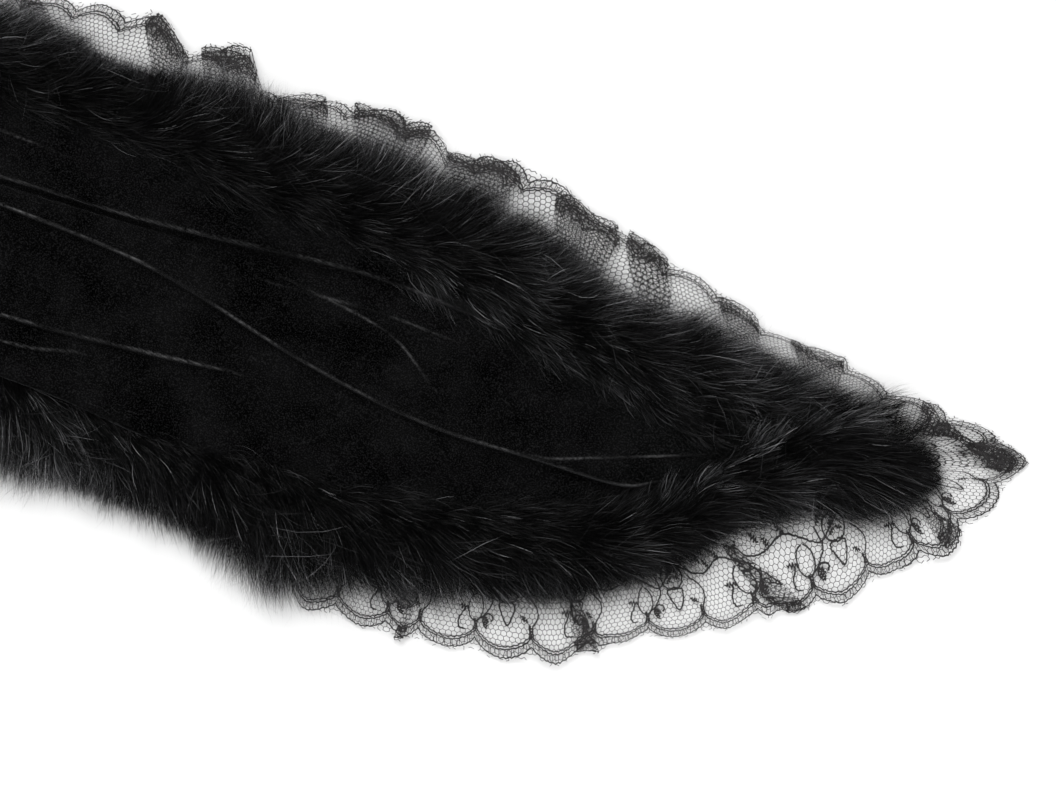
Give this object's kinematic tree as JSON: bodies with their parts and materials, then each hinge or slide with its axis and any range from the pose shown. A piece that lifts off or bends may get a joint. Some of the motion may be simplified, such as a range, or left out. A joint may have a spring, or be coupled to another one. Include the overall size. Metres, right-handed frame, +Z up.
{
  "type": "fur-trimmed velvet stole",
  "caption": "Long pointed costume stole of black velvet with a long-haired fur border and a gathered scalloped lace ruffle along both edges.",
  "frame": {"origin": "on the surface that the stole lies on, under the centre-back seam and midway between the widest lace edges", "axes": "+X along the stole to the right-hand point, +Y from the hem edge to the neck edge, +Z up from the surface through the velvet face"},
  "size_m": [1.5002, 0.2063, 0.02],
  "materials": {
    "velvet": "black cotton-backed velvet, short dense pile with grazing sheen",
    "interlining": "matt needle-felt fleece",
    "lining": "black satin-weave lining, soft shine",
    "fur": "black long-haired fur, silky hairs with pale glints",
    "lace": "fine black knitted lace thread",
    "tape": "black ribbed grosgrain tape",
    "thread": "black twisted sewing thread"
  },
  "bodies": {
    "left_half": {"velvet_face_left": "velvet", "interlining_left": "interlining", "lining_left": "lining", "fur_trim_neck_left": "fur", "fur_trim_hem_left": "fur", "lace_ruffle_neck_left": "lace", "lace_ruffle_hem_left": "lace", "ruffle_tape_neck_left": "tape", "ruffle_tape_hem_left": "tape", "edge_stitching_neck_left": "thread", "edge_stitching_hem_left": "thread", "mitre_stitching_left": "thread", "centre_back_stitching": "thread"},
    "right_half": {"velvet_face_right": "velvet", "interlining_right": "interlining", "lining_right": "lining", "fur_trim_neck_right": "fur", "fur_trim_hem_right": "fur", "lace_ruffle_neck_right": "lace", "lace_ruffle_hem_right": "lace", "ruffle_tape_neck_right": "tape", "ruffle_tape_hem_right": "tape", "edge_stitching_neck_right": "thread", "edge_stitching_hem_right": "thread", "mitre_stitching_right": "thread"}
  },
  "joints": [
    {"name": "centre_back_fold", "type": "hinge", "parent": "left_half", "child": "right_half", "pos_m": [0, 0, 0.0203], "axis": [0, -1, 0], "range_deg": [0, 175]}
  ]
}
